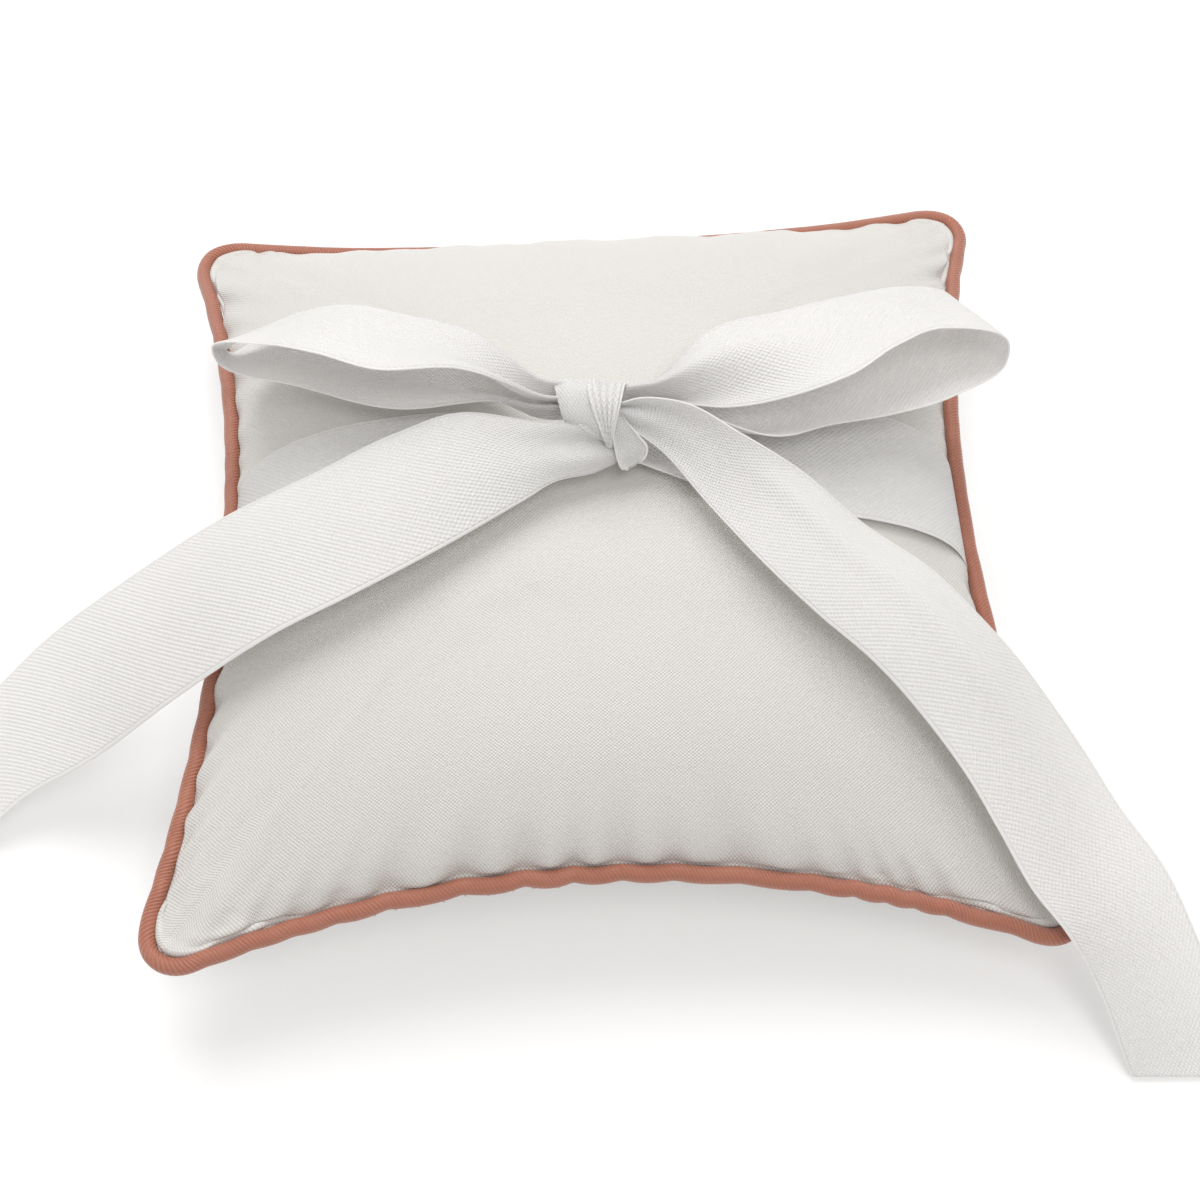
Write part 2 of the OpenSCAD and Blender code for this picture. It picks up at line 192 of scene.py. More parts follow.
# Knot stations, laid out as those of the ribbons
KNOT_SLEEVE = (
    ((0.6, -3.9, 55.6), (-4.8, -0.6, 55.6), 0.1),
    ((0.3, -3.2, 58.0), (-5.6, -0.6, 57.4), 0.2),
    ((-0.5, -0.6, 60.0), (-6.2, 0.8, 59.2), 0.2),
    ((-0.5, 1.8, 60.9), (-6.7, 2.9, 60.0), 0.2),
    ((-0.5, 4.2, 60.2), (-6.9, 5.0, 59.3), 0.2),
    ((-0.5, 5.4, 58.2), (-6.8, 6.0, 57.6), 0.2),
    ((-0.5, 5.2, 56.0), (-6.2, 5.6, 55.6), 0.1),
)
KNOT_WRAP = (
    ((5.0, 4.9, 54.4), (-1.2, 5.3, 54.4), 0.1),
    ((4.8, 5.2, 57.2), (-1.3, 5.6, 57.4), 0.3),
    ((4.2, 4.0, 59.8), (-1.6, 4.4, 60.1), 0.4),
    ((3.7, 1.6, 61.1), (-1.8, 1.8, 61.4), 0.5),
    ((3.1, -1.0, 60.8), (-1.4, -0.8, 61.0), 0.5),
    ((2.4, -3.0, 59.2), (-0.6, -2.8, 59.4), 0.4),
    ((1.9, -4.3, 57.2), (0.3, -4.2, 57.3), 0.3),
    ((1.6, -4.9, 55.2), (0.9, -4.8, 55.2), 0.1),
)
KNOT_TUCK = (
    ((3.2, -1.0, 59.2), (1.5, -1.6, 59.5), 0.2),
    ((4.5, -2.6, 58.0), (1.8, -3.9, 58.1), 0.5),
    ((6.1, -3.9, 56.4), (2.1, -5.5, 56.2), 1.0),
    ((7.3, -5.0, 54.8), (2.6, -7.0, 54.1), 1.3),
    ((6.9, -5.9, 53.2), (3.3, -7.5, 52.7), 1.3),
    ((6.0, -6.2, 52.1), (4.3, -7.1, 51.8), 0.6),
)


class PillowSizes(bpy.types.PropertyGroup):
    """Sizes of the pillow, its piping and its ribbons"""

    seam_square: FloatProperty(
        name="Seam to seam",
        description="Distance between the seams, measured at the corners",
        default=PANEL_HIGH.x - PANEL_LOW.x,
        subtype="DISTANCE",
    )
    side_pull: FloatProperty(
        name="Side pull",
        description="How far each side draws in between its corners",
        default=12 * MM,
        subtype="DISTANCE",
    )
    corner_radius: FloatProperty(
        name="Corner radius",
        description="Radius of the seam at a corner",
        default=9 * MM,
        subtype="DISTANCE",
    )
    edge_rise: FloatProperty(
        name="Edge rise",
        description="How much higher the seam stands between its corners",
        default=8.5 * MM,
        subtype="DISTANCE",
    )
    top_loft: FloatProperty(
        name="Top loft",
        description="Height of the upper side's middle above its seam",
        default=23.4 * MM,
        subtype="DISTANCE",
    )
    under_loft: FloatProperty(
        name="Under loft",
        description="Depth of the under side before the table flattens it",
        default=30 * MM,
        subtype="DISTANCE",
    )
    fullness: FloatProperty(
        name="Fullness",
        description="Shape of the dome, from pointed at 1 to boxy near 0",
        default=0.6,
        min=0.3,
        max=1,
    )
    swell: FloatProperty(
        name="Swell",
        description="Furthest that the filling may push the satin out",
        default=2 * MM,
        subtype="DISTANCE",
    )
    pucker_pitch: FloatProperty(
        name="Pucker pitch",
        description="Distance between two puckers along the seam",
        default=8 * MM,
        subtype="DISTANCE",
    )
    pucker_depth: FloatProperty(
        name="Pucker depth",
        description="Height of a pucker in the satin next to the seam",
        default=1.2 * MM,
        subtype="DISTANCE",
    )
    piping_width: FloatProperty(
        name="Piping width",
        description="Diameter of the piping",
        default=2.8 * MM,
        subtype="DISTANCE",
    )
    ribbon_width: FloatProperty(
        name="Ribbon width",
        description="Width of the ribbon from selvedge to selvedge",
        default=22 * MM,
        subtype="DISTANCE",
    )
    ribbon_thickness: FloatProperty(
        name="Ribbon thickness",
        description="Thickness of the ribbon",
        default=0.35 * MM,
        subtype="DISTANCE",
    )


def colour(name, description, default):
    return FloatVectorProperty(
        name=name, description=description, default=default, size=3, min=0, max=1, subtype="COLOR"
    )


class PillowColours(bpy.types.PropertyGroup):
    """Colours of the fabrics, the thread and the table"""

    satin: colour("Satin", "Colour of the pillow's satin", (0.69, 0.675, 0.65))
    # satin_shade is painted shade between the satin's threads, and the tone of its darker random patches
    satin_shade: colour("Satin shade", "Tint of the satin's duller patches", (0.62, 0.60, 0.57))
    ribbon: colour("Ribbon", "Colour of the ribbons", (0.96, 0.95, 0.945))
    # ribbon_shade is painted shade between the ribbon's threads and along the groove by its selvedge
    ribbon_shade: colour("Ribbon shade", "Colour between the ribbon's threads", (0.87, 0.86, 0.85))
    piping: colour("Piping", "Colour of the rose piping", (0.49, 0.205, 0.135))
    # piping_shade is painted shade between the piping's ribs, and the tone of its darker random patches
    piping_shade: colour("Piping shade", "Colour between the piping's ribs", (0.31, 0.085, 0.047))
    thread: colour("Thread", "Colour of the sewing thread", (0.78, 0.74, 0.70))
    table: colour("Table", "Colour of the table", (0.76, 0.76, 0.76))


# Forms


def ramp(low, high, value):
    """Smooth step from 0 at low to 1 at high."""
    share = min(max((value - low) / (high - low), 0.0), 1.0)
    return share * share * (3 - 2 * share)


def mix(first, second, share):
    return first + (second - first) * share


class PillowForm:
    """The pillow's surface, from coordinates that run from -1 to 1 across it."""

    def __init__(self, sizes):
        self.half = sizes.seam_square / 2
        self.pull = sizes.side_pull / self.half
        self.rounding = sizes.corner_radius / self.half
        self.rise = sizes.edge_rise
        self.top_loft = sizes.top_loft
        self.under_loft = sizes.under_loft
        self.fullness = sizes.fullness
        self.pitch = sizes.pucker_pitch

    def side_point(self, share, radius):
        """Point on one side of the unit square, whose corners have this radius."""
        run = share * (1 - radius + radius * math.pi / 4)
        past = abs(run) - (1 - radius)
        if past <= 0:
            return 1.0, run
        turn = min(past / radius, math.pi / 4)
        return 1 - radius + radius * math.cos(turn), math.copysign(
            1 - radius + radius * math.sin(turn), run
        )

    def rounded(self, u, v):
        """The point of the unit square with rounded corners that u, v moves to."""
        ring = max(abs(u), abs(v))
        if ring < 1e-9:
            return 0.0, 0.0, 0.0
        wide = abs(u) >= abs(v)
        major, minor = (u, v) if wide else (v, u)
        out, along = self.side_point(minor / ring, max(self.rounding * ring**4, 1e-6))
        out, along = math.copysign(out * ring, major), along * ring
        return (out, along, ring) if wide else (along, out, ring)

    def plan(self, p, q):
        return (
            self.half * p * (1 - self.pull * (1 - q * q) * p * p),
            self.half * q * (1 - self.pull * (1 - p * p) * q * q),
        )

    def seam_height(self, p, q):
        near_left, near_right, far_right, far_left = CORNER_HEIGHTS
        near, far = mix(near_left, near_right, (1 + p) / 2), mix(far_left, far_right, (1 + p) / 2)
        return mix(near, far, (1 + q) / 2) + self.rise * (1 - p * p * q * q)

    def surface(self, u, v, upper=True):
        p, q, ring = self.rounded(u, v)
        x, y = self.plan(p, q)
        flat = max(1 - ring**24, 0.0) ** 0.3
        dome = max((1 - p * p) * (1 - q * q), 0.0) ** self.fullness * flat
        step = SEAM_STEP * math.sqrt(max(1 - ring**40, 0.0))
        middle = self.seam_height(p, q)
        if upper:
            return Vector((x, y, middle + step + self.top_loft * dome))
        return Vector((x, y, max(0.0, middle - step - self.under_loft * dome)))

    def side(self, u, v):
        """Number of the side that a point is nearest to, and how far along it the point is."""
        ring = max(abs(u), abs(v), 1e-9)
        if abs(u) >= abs(v):
            return (1, v / ring) if u > 0 else (3, -v / ring)
        return (2, -u / ring) if v > 0 else (0, u / ring)

    def pucker(self, side, along, pitch):
        """Round crests above 0 and sharp valleys below it along a side, weaker at its corners."""
        run = along * self.half / pitch
        drift = 1.3 * noise.noise(Vector((run * 0.31, 3.7 * side, 0.5)))
        crest = abs(math.sin(math.pi * (run + drift))) - 0.6
        weight = 0.65 + 0.7 * noise.noise(Vector((run * 0.23, 5.1 * side, 8.2)))
        return crest * max(weight, 0.15) * (1 - 0.8 * along**8)

    def overhang(self, side, along):
        """How far the satin bulges over the piping, from 0 at a corner to 1 on the far side."""
        return OVERHANGS[side] * (1 - abs(along) ** 5)

    def seam(self, turn):
        """Seam point at a share of the way around, its side, and how far along that side it is."""
        side = int(turn * 4) % 4
        along = (turn * 4 - int(turn * 4)) * 2 - 1
        u, v = ((along, -1), (1, along), (-along, 1), (-1, -along))[side]
        p, q, _ = self.rounded(u, v)
        x, y = self.plan(p, q)
        return Vector((x, y, self.seam_height(p, q))), side, along


def edge_spacing(share):
    """Grid line at a share from 0 to 1, closer together near the seam, in -1..1."""
    h = 2 * share - 1
    return h * (1.35 - 0.35 * h * h)


def finish_mesh(obj):
    for polygon in obj.data.polygons:
        polygon.use_smooth = True
    return obj


def new_object(name, mesh):
    obj = bpy.data.objects.new(name, mesh)
    bpy.context.scene.collection.objects.link(obj)
    return finish_mesh(obj)


def lay_grid(bm, across, along, place, measure):
    """Adds a grid whose points are moved to place(a, b), with cloth coordinates measure(a, b)."""
    cloth = bm.loops.layers.uv.get("UVMap") or bm.loops.layers.uv.new("UVMap")
    verts = bmesh.ops.create_grid(bm, x_segments=across, y_segments=along, size=0.5)["verts"]
    faces = {face for vert in verts for face in vert.link_faces}
    for face in faces:
        for loop in face.loops:
            loop[cloth].uv = measure(loop.vert.co.x + 0.5, loop.vert.co.y + 0.5)
    for vert in verts:
        vert.co = place(vert.co.x + 0.5, vert.co.y + 0.5)
    return list(faces)


def grid_object(name, across, along, place, measure, closed=False):
    bm = bmesh.new()
    lay_grid(bm, across, along, place, measure)
    if closed:
        bmesh.ops.remove_doubles(bm, verts=bm.verts, dist=1e-6)
        bmesh.ops.recalc_face_normals(bm, faces=bm.faces)
    mesh = bpy.data.meshes.new(name)
    bm.to_mesh(mesh)
    bm.free()
    return new_object(name, mesh)


def add_solidify(obj, thickness):
    wall = obj.modifiers.new("Thickness", "SOLIDIFY")
    wall.thickness = thickness
    wall.offset = 0.0
    wall.use_even_offset = True


def add_subdivision(obj):
    smooth = obj.modifiers.new("Smooth", "SUBSURF")
    smooth.levels = smooth.render_levels = 1


def bake_modifiers(obj):
    """Applies the modifiers to the mesh, and leaves none on the piece."""
    depsgraph = bpy.context.evaluated_depsgraph_get()
    mesh = bpy.data.meshes.new_from_object(obj.evaluated_get(depsgraph))
    mesh.name = obj.data.name
    obj.modifiers.clear()
    obj.data = mesh
    return finish_mesh(obj)


# Ribbons


class RibbonPath:
    """A ribbon between two edge lines that pass smoothly through its stations."""

    def __init__(self, stations):
        self.right = [Vector(s[0]) * MM for s in stations]
        self.left = [Vector(s[1]) * MM for s in stations]
        self.crown = [s[2] * MM for s in stations]
        middles = [(r + l) / 2 for r, l in zip(self.right, self.left)]
        self.knots = [0.0]
        for first, second in zip(middles, middles[1:]):
            self.knots.append(self.knots[-1] + (second - first).length)
        self.length = self.knots[-1]

    def along(self, values, distance):
        """Value at a distance along the path, by a cubic through the stations."""
        knots = self.knots
        distance = min(max(distance, 0.0), self.length)
        i = 0
        while i < len(knots) - 2 and distance > knots[i + 1]:
            i += 1

        def slope(j):
            if j == 0:
                return (values[1] - values[0]) / (knots[1] - knots[0])
            if j == len(knots) - 1:
                return (values[j] - values[j - 1]) / (knots[j] - knots[j - 1])
            before, after = knots[j] - knots[j - 1], knots[j + 1] - knots[j]
            return (
                (values[j] - values[j - 1]) / before * after
                + (values[j + 1] - values[j]) / after * before
            ) / (before + after)

        span = knots[i + 1] - knots[i]
        t = (distance - knots[i]) / span
        return (
            values[i] * (2 * t**3 - 3 * t**2 + 1)
            + slope(i) * (span * (t**3 - 2 * t**2 + t))
            + values[i + 1] * (3 * t**2 - 2 * t**3)
            + slope(i + 1) * (span * (t**3 - t**2))
        )

    def point(self, across, distance, lift=0.0):
        """Point at a share across, from the right-hand edge, and a distance along."""
        right, left = self.along(self.right, distance), self.along(self.left, distance)
        step = 0.3 * MM
        ahead = self.along(self.right, distance + step) + self.along(self.left, distance + step)
        behind = self.along(self.right, distance - step) + self.along(self.left, distance - step)
        up = (ahead - behind).cross(left - right).normalized()
        crown = self.along(self.crown, distance) * 4 * across * (1 - across)
        return right.lerp(left, across) + up * (crown + lift)


def pleat_depths(path, width, pleat, deepest):
    """Depth of the pleats at even steps along a path, so that gathered cloth keeps its width."""
    steps, samples = 48, 40
    depths = []
    for step in range(steps + 1):
        distance = path.length * step / steps
        chord = (path.along(path.left, distance) - path.along(path.right, distance)).length
        shape = [pleat(i / samples, distance, path.length) for i in range(samples + 1)]
        low, high = 0.0, deepest
        for _ in range(12):
            depth = (low + high) / 2
            arc = sum(
                math.hypot(chord / samples, depth * (b - a)) for a, b in zip(shape, shape[1:])
            )
            low, high = (depth, high) if arc < width else (low, depth)
        depths.append(low)
    return depths


def ribbon(
    name, stations, sizes, folds=None, rows=26, pitch=0.9 * MM, rest=None,
    pleat=None, deepest=0.0, shown=None,
):
    """Ribbon piece along its stations, and its length.

    folds(across, distance, length) gives the height of its waves, pleat the shape of its
    pleats, and rest(point) moves a point off what it lies on. shown is the width of cloth
    that shows where the rest is gathered in.
    """
    path = RibbonPath(stations)
    width = sizes.ribbon_width
    depths = pleat_depths(path, width, pleat, deepest) if pleat else None

    def place(a, b):
        distance = b * path.length
        lift = folds(a, distance, path.length) if folds else 0.0
        if pleat:
            step = min(b * (len(depths) - 1), len(depths) - 1.001)
            depth = mix(depths[int(step)], depths[int(step) + 1], step - int(step))
            lift += depth * pleat(a, distance, path.length)
        point = path.point(a, distance, lift)
        return rest(point) if rest else point

    def measure(a, b):
        return a * (shown or width), b * path.length

    obj = grid_object(name, rows, max(8, round(path.length / pitch)), place, measure)
    add_solidify(obj, sizes.ribbon_thickness)
    add_subdivision(obj)
    bake_modifiers(obj)
    return obj, path.length


def cushion_tree():
    """The cushion's finished surface, for laying things on it."""
    mesh = bpy.data.objects["cushion"].data
    return BVHTree.FromPolygons(
        [v.co for v in mesh.vertices], [tuple(p.vertices) for p in mesh.polygons]
    )


def height_over(tree, x, y):
    """Height of the cushion's upper side at x, y, or None outside it."""
    hit = tree.ray_cast(Vector((x, y, WELL_ABOVE)), Vector((0, 0, -1)))[0]
    return hit.z if hit else None


def resting(tree, gap, soft=0.8 * MM):
    """Returns a function that lifts a point until it is gap above the cushion and the table."""

    def rest(point):
        floor = height_over(tree, point.x, point.y) or 0.0
        spare = point.z - floor - gap
        if spare > 3 * soft:
            return point
        lifted = soft * math.log1p(math.exp(spare / soft)) if spare > -9 * soft else 0.0
        return Vector((point.x, point.y, floor + gap + lifted))

    return rest


# Finishes


class Finish:
    """A material and the nodes that make it up."""

    def __init__(self, name, **values):
        self.material = bpy.data.materials.new(name)
        self.material.use_nodes = True
        self.tree = self.material.node_tree
        self.shader = self.tree.nodes["Principled BSDF"]
        for socket, value in values.items():
            self.shader.inputs[socket.replace("_", " ")].default_value = value

    def node(self, kind, settings=None, **inputs):
        made = self.tree.nodes.new(kind)
        for key, value in (settings or {}).items():
            setattr(made, key, value)
        for key, value in inputs.items():
            self.feed(made.inputs[key.replace("_", " ")], value)
        return made

    def feed(self, socket, value):
        if isinstance(value, bpy.types.NodeSocket):
            self.tree.links.new(value, socket)
        else:
            socket.default_value = value

    def maths(self, operation, first, second=0.0):
        made = self.tree.nodes.new("ShaderNodeMath")
        made.operation = operation
        self.feed(made.inputs[0], first)
        self.feed(made.inputs[1], second)
        return made.outputs[0]

    def blend(self, share, first, second):
        made = self.node("ShaderNodeMix", {"data_type": "RGBA"})
        self.feed(made.inputs["Factor"], share)
        self.feed(made.inputs["A"], first)
        self.feed(made.inputs["B"], second)
        return made.outputs["Result"]

    def cloth(self):
        """The cloth's own coordinates, and how far across and along it they are, in metres."""
        uv = self.node("ShaderNodeUVMap", {"uv_map": "UVMap"})
        parts = self.node("ShaderNodeSeparateXYZ", Vector=uv.outputs[0])
        return uv.outputs[0], parts.outputs["X"], parts.outputs["Y"]

    def wave(self, value, pitch):
        return self.maths("SINE", self.maths("MULTIPLY", value, 2 * math.pi / pitch))

    def diamonds(self, across, along, pitch_across, pitch_along):
        """Staggered crossings of the threads, from -1 between them to 1 on them."""
        a = self.maths("MULTIPLY", across, 2 * math.pi / pitch_across)
        b = self.maths("MULTIPLY", along, 2 * math.pi / pitch_along)
        return self.maths("MULTIPLY", self.maths("SINE", a), self.maths("SINE", b))

    def patches(self, scale, detail, vector=None):
        """Soft irregular patches, from 0 to 1, over the piece's own space."""
        if vector is None:
            vector = self.node("ShaderNodeTexCoord").outputs["Object"]
        return self.node(
            "ShaderNodeTexNoise", None, Vector=vector, Scale=scale, Detail=detail
        ).outputs[0]

    def bump(self, height, distance, strength=1.0, below=None):
        made = self.node("ShaderNodeBump", None, Strength=strength, Distance=distance)
        self.feed(made.inputs["Height"], height)
        if below is not None:
            self.feed(made.inputs["Normal"], below)
        return made.outputs[0]

    def done(self, colour, normal=None):
        self.feed(self.shader.inputs["Base Color"], colour)
        if normal is not None:
            self.feed(self.shader.inputs["Normal"], normal)
        return self.material


def rgba(value):
    return (*value, 1.0)


def satin_finish(colours):
    f = Finish("white satin", Roughness=0.4, Sheen_Weight=0.2, Sheen_Roughness=0.4, IOR=1.42)
    vector, across, along = f.cloth()
    threads = f.diamonds(across, along, *SATIN_WEAVE)
    slubs = f.node("ShaderNodeMapping", None, Vector=vector, Scale=(1700.0, 1100.0, 1.0))
    grain = f.patches(1.0, 2.0, slubs.outputs[0])
    height = f.maths("ADD", f.maths("MULTIPLY", threads, 0.45), f.maths("MULTIPLY", grain, 0.7))
    soft = f.bump(f.patches(45.0, 2.0), 0.5 * MM, 0.35)
    normal = f.bump(height, 0.12 * MM, 1.0, soft)
    # Painted shade: the satin is darker between its threads; the patches below add random tone
    thread_gap_shade = f.maths("MULTIPLY_ADD", threads, -0.35)
    thread_gap_shade.node.inputs[2].default_value = 0.3
    tint = f.maths("ADD", thread_gap_shade, f.maths("MULTIPLY", f.patches(25.0, 2.0), 0.3))
    return f.done(f.blend(tint, rgba(colours.satin), rgba(colours.satin_shade)), normal)


def ribbon_finish(colours, width):
    f = Finish("white ribbon", Roughness=0.45, Sheen_Weight=0.2, Sheen_Roughness=0.35, IOR=1.42)
    _, across, along = f.cloth()
    threads = f.diamonds(across, along, *RIBBON_WEAVE)
    inside = f.maths("MINIMUM", across, f.maths("SUBTRACT", width, across))
    line = f.maths("ABSOLUTE", f.maths("SUBTRACT", inside, SELVEDGE))
    groove = f.node("ShaderNodeMapRange", None, Value=line)
    groove.inputs["From Max"].default_value = 0.18 * MM
    groove = groove.outputs[0]
    body = f.node("ShaderNodeMapRange", None, Value=inside)
    body.inputs["From Min"].default_value = 0.5 * MM
    body.inputs["From Max"].default_value = 0.8 * MM
    woven = f.maths("MULTIPLY", threads, body.outputs[0])
    height = f.maths("ADD", woven, f.maths("MULTIPLY", groove, 1.2))
    normal = f.bump(height, 0.075 * MM, 1.0)
    # Painted shade: the ribbon is darker between its threads
    shade = f.maths("MULTIPLY_ADD", woven, -0.3)
    shade.node.inputs[2].default_value = 0.25
    # Painted shade along the groove by the selvedge
    shade = f.maths("ADD", shade, f.maths("MULTIPLY", f.maths("SUBTRACT", 1.0, groove), 0.35))
    tint = f.blend(shade, rgba(colours.ribbon), rgba(colours.ribbon_shade))
    through = f.node("ShaderNodeBsdfTranslucent", None, Color=tint, Normal=normal)
    both = f.node("ShaderNodeMixShader", None, Fac=0.4)
    f.tree.links.new(f.shader.outputs[0], both.inputs[1])
    f.tree.links.new(through.outputs[0], both.inputs[2])
    f.tree.links.new(both.outputs[0], f.tree.nodes["Material Output"].inputs["Surface"])
    return f.done(tint, normal)


def piping_finish(colours):
    f = Finish("rose satin piping", Roughness=0.34, Sheen_Weight=0.2, Sheen_Roughness=0.4, IOR=1.48)
    _, around, along = f.cloth()
    slant = f.maths("ADD", along, f.maths("MULTIPLY", around, 0.55))
    wander = f.maths("MULTIPLY", f.patches(300.0, 2.0), 0.5 * MM)
    ribs = f.wave(f.maths("ADD", slant, wander), PIPING_RIBS)
    fine = f.wave(slant, 0.21 * MM)
    height = f.maths("ADD", ribs, f.maths("MULTIPLY", fine, 0.3))
    normal = f.bump(height, 0.06 * MM, 1.0)
    # Painted shade: the piping is darker between its ribs; the patches add random tone
    share = f.maths("MULTIPLY_ADD", ribs, -0.13)
    share.node.inputs[2].default_value = 0.25
    share = f.maths("ADD", share, f.maths("MULTIPLY", f.patches(120.0, 3.0), 0.35))
    return f.done(f.blend(share, rgba(colours.piping), rgba(colours.piping_shade)), normal)


def thread_finish(colours):
    f = Finish("sewing thread", Roughness=0.5, Sheen_Weight=0.3, IOR=1.45)
    twist = f.patches(2500.0, 2.0)
    normal = f.bump(twist, 0.05 * MM, 0.6)
    shade = tuple(0.8 * c for c in colours.thread)
    return f.done(f.blend(twist, rgba(colours.thread), rgba(shade)), normal)


def table_finish(colours):
    f = Finish("matt white table", Roughness=0.9, IOR=1.3, Emission_Strength=0.22)
    f.feed(f.shader.inputs["Emission Color"], (1.0, 1.0, 1.0, 1.0))
    shade = tuple(0.985 * c for c in colours.table)
    return f.done(f.blend(f.patches(8.0, 2.0), rgba(colours.table), rgba(shade)))


def finish_named(name, maker):
    return bpy.data.materials.get(name) or maker()


def dress(obj, material, body, slot, *nodes):
    """Gives a piece its finish, the CAD nodes it stands for and its body; slot is not used."""
    obj.data.materials.clear()
    obj.data.materials.append(material)
    if nodes:
        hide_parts(*nodes)
    if body:
        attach(obj, body)
    return obj


def settings():
    scene = bpy.context.scene
    return scene.pillow_sizes, scene.pillow_colours


# Pieces


def fill_with_cloth(obj, pinned, cap):
    """Lets the filling's pressure swell the satin, by at most about cap."""
    before = [v.co.copy() for v in obj.data.vertices]
    group = obj.vertex_groups.new(name="seam")
    group.add(pinned, 1.0, "REPLACE")
    swell = obj.modifiers.new("Filling", "CLOTH")
    cloth = swell.settings
    cloth.quality = 5
    cloth.mass = 0.15
    cloth.tension_stiffness = cloth.compression_stiffness = 12
    cloth.shear_stiffness = 4
    cloth.bending_stiffness = 0.08
    cloth.shrink_min = -0.035
    cloth.use_pressure = True
    cloth.uniform_pressure_force = 4
    cloth.vertex_group_mass = "seam"
    cloth.effector_weights.gravity = 0
    frames = 20
    swell.point_cache.frame_start, swell.point_cache.frame_end = 1, frames
    scene = bpy.context.scene
    for number in range(1, frames + 1):
        scene.frame_set(number)
    swollen = obj.evaluated_get(bpy.context.evaluated_depsgraph_get()).data
    after = [v.co.copy() for v in swollen.vertices]
    obj.modifiers.remove(swell)
    obj.vertex_groups.clear()
    scene.frame_set(1)
    for vert, old, new in zip(obj.data.vertices, before, after):
        move = new - old
        far = move.length
        if far > 1e-9:
            move *= cap * math.tanh(far / cap) / far
        vert.co = old + move
        vert.co.z = max(vert.co.z, 0.0)


class PILLOW_OT_cushion(bpy.types.Operator):
    """Sew the two satin panels into a cushion and fill it"""

    bl_idname = "pillow.cushion"
    bl_label = "Cushion"

    def execute(self, context):
        sizes, colours = settings()
        form = PillowForm(sizes)
        cells = 112
        places = {}
        bm = bmesh.new()
        for upper in (True, False):

            def place(a, b, upper=upper):
                u, v = edge_spacing(a), edge_spacing(b)
                point = form.surface(u, v, upper)
                if max(abs(u), abs(v)) > 1 - 1e-6:
                    p, q, _ = form.rounded(u, v)
                    point.z = form.seam_height(p, q)
                places.setdefault(upper, []).append((u, v, point.copy()))
                return point

            def measure(a, b):
                return edge_spacing(a) * form.half, edge_spacing(b) * form.half

            faces = lay_grid(bm, cells, cells, place, measure)
            if not upper:
                bmesh.ops.reverse_faces(bm, faces=faces)
        layer_u = bm.verts.layers.float.new("u")
        layer_v = bm.verts.layers.float.new("v")
        layer_side = bm.verts.layers.float.new("upper")
        bm.verts.ensure_lookup_table()
        for vert, (u, v, point), upper in zip(
            bm.verts,
            places[True] + places[False],
            [1.0] * len(places[True]) + [-1.0] * len(places[False]),
        ):
            vert[layer_u], vert[layer_v], vert[layer_side] = u, v, upper
        bmesh.ops.remove_doubles(bm, verts=bm.verts, dist=1e-5)
        bm.verts.ensure_lookup_table()
        marks = [(v[layer_u], v[layer_v], v[layer_side]) for v in bm.verts]
        for name in ("u", "v", "upper"):
            bm.verts.layers.float.remove(bm.verts.layers.float[name])
        mesh = bpy.data.meshes.new("cushion")
        bm.to_mesh(mesh)
        bm.free()
        obj = new_object("cushion", mesh)
        rings = [max(abs(u), abs(v)) for u, v, upper in marks]
        pinned = [i for i, ring in enumerate(rings) if ring > 0.995]
        fill_with_cloth(obj, pinned, sizes.swell)
        normals = [v.normal.copy() for v in obj.data.vertices]
        for vert, normal, ring, (u, v, upper) in zip(obj.data.vertices, normals, rings, marks):
            inward = (1 - ring) * form.half
            side, along = form.side(u, v)
            close = ramp(0, 1.0 * MM, inward) * math.exp(-((inward / PUCKER_REACH) ** 2))
            wide = ramp(0, 3 * MM, inward) * math.exp(-((inward / FOLD_REACH) ** 2))
            crest = form.pucker(side, along, form.pitch) * SATIN_PUCKERS[side]
            lift = sizes.pucker_depth * close * (crest + 0.3)
            folds = form.pucker(side + 4, along, FOLD_PITCH * form.pitch) * (1 - along**4)
            lift += FOLD_HEIGHT * sizes.pucker_depth * wide * folds
            level = Vector((normal.x, normal.y, 0))
            bulge = BULGE * form.overhang(side, along) * (1 if upper > 0 else 0.4)
            bulge += max(crest, 0) * (0.8 * MM if upper > 0 else 0.3 * MM)
            bulge *= ramp(0, 0.8 * MM, inward) * (1 - ramp(1.0 * MM, BULGE_REACH, inward))
            vert.co += normal * lift + level.normalized() * bulge
            vert.co.z = max(vert.co.z, 0.0)
        add_subdivision(obj)
        bake_modifiers(obj)
        dress(obj, satin_finish(colours), "pillow", "satin", "front_panel", "back_panel", "filling",
              "seam_stitching")
        return {"FINISHED"}


def piping_line(form, radius):
    """Centre of the piping at even steps around the pillow, how the satin crests there, and
    how far it is around."""
    samples, stations = 1200, 640
    # Four sides, along each of which the coordinate runs from -1 to 1
    along_step = 8 / samples
    line = [form.seam(i / samples) for i in range(samples)]
    run = [0.0]
    for i in range(samples):
        run.append(run[-1] + (line[(i + 1) % samples][0] - line[i][0]).length)
    spots = []
    j = 0
    for i in range(stations):
        target = run[-1] * i / stations
        while run[j + 1] < target:
            j += 1
        share = (target - run[j]) / (run[j + 1] - run[j])
        here, side, along = line[j]
        there = line[(j + 1) % samples][0]
        spots.append((here.lerp(there, share), side, along + along_step * share))
    centres = []
    for i, (point, side, along) in enumerate(spots):
        ahead, behind = spots[(i + 1) % stations][0], spots[i - 1][0]
        outward = (ahead - behind).cross(Vector((0, 0, 1))).normalized()
        along = max(-1, min(1, along))
        crest = form.pucker(side, along, form.pitch) * PIPING_WAVES[side]
        tuck = form.overhang(side, along)
        drift = 0.15 * MM * noise.noise(point * 45)
        centre = point + outward * (radius * (0.93 - 0.4 * tuck) + 0.35 * MM * crest + drift)
        centre.z -= 0.45 * MM * crest - 0.25 * MM * noise.noise(point * 60 + Vector((4, 4, 4)))
        centre.z -= 0.5 * MM * tuck
        centres.append((centre, crest))
    return centres, run[-1]


